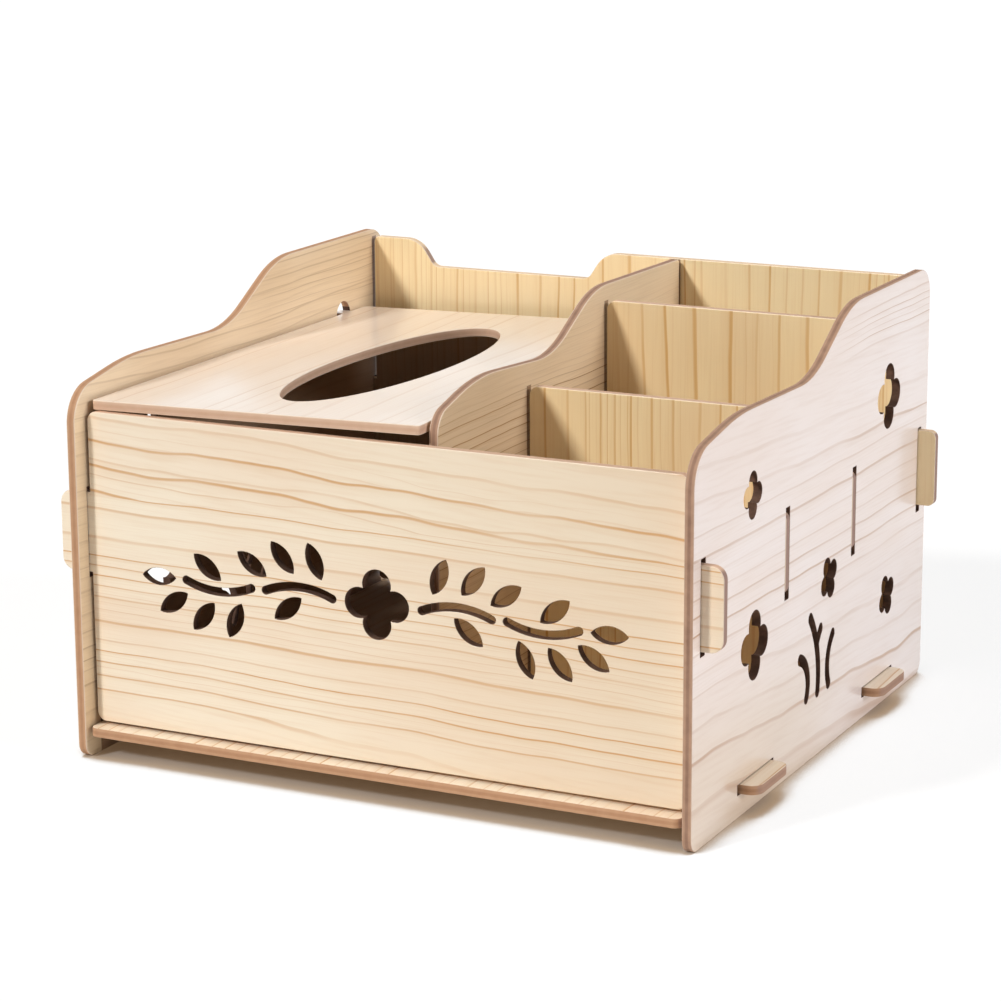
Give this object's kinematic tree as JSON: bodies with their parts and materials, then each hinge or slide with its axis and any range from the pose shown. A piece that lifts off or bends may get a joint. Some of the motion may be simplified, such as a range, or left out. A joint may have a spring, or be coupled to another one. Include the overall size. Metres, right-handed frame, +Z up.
{
  "type": "tissue box",
  "caption": "Slot-together wooden tissue box with a lid that turns on its own ears over the tissue compartment, an oval opening in the lid, and open side compartments for small things.",
  "frame": {"origin": "under the middle of the box, on the surface that the side panels stand on", "axes": "+X to the right seen from the front, along the width; +Y to the back; +Z up"},
  "size_m": [0.2218, 0.2, 0.1395],
  "materials": {
    "film_faced_board": "satin"
  },
  "bodies": {
    "carcass": {"left_side_panel": "film_faced_board", "right_side_panel": "film_faced_board", "centre_divider": "film_faced_board", "front_panel": "film_faced_board", "back_panel": "film_faced_board", "base_panel": "film_faced_board", "front_partition": "film_faced_board", "rear_partition": "film_faced_board"},
    "lid": {"lid": "film_faced_board"}
  },
  "joints": [
    {"name": "lid_hinge", "type": "hinge", "parent": "carcass", "child": "lid", "pos_m": [-0.043, 0.0698, 0.11252], "axis": [-1, 0, 0], "range_deg": [0, 120]}
  ]
}
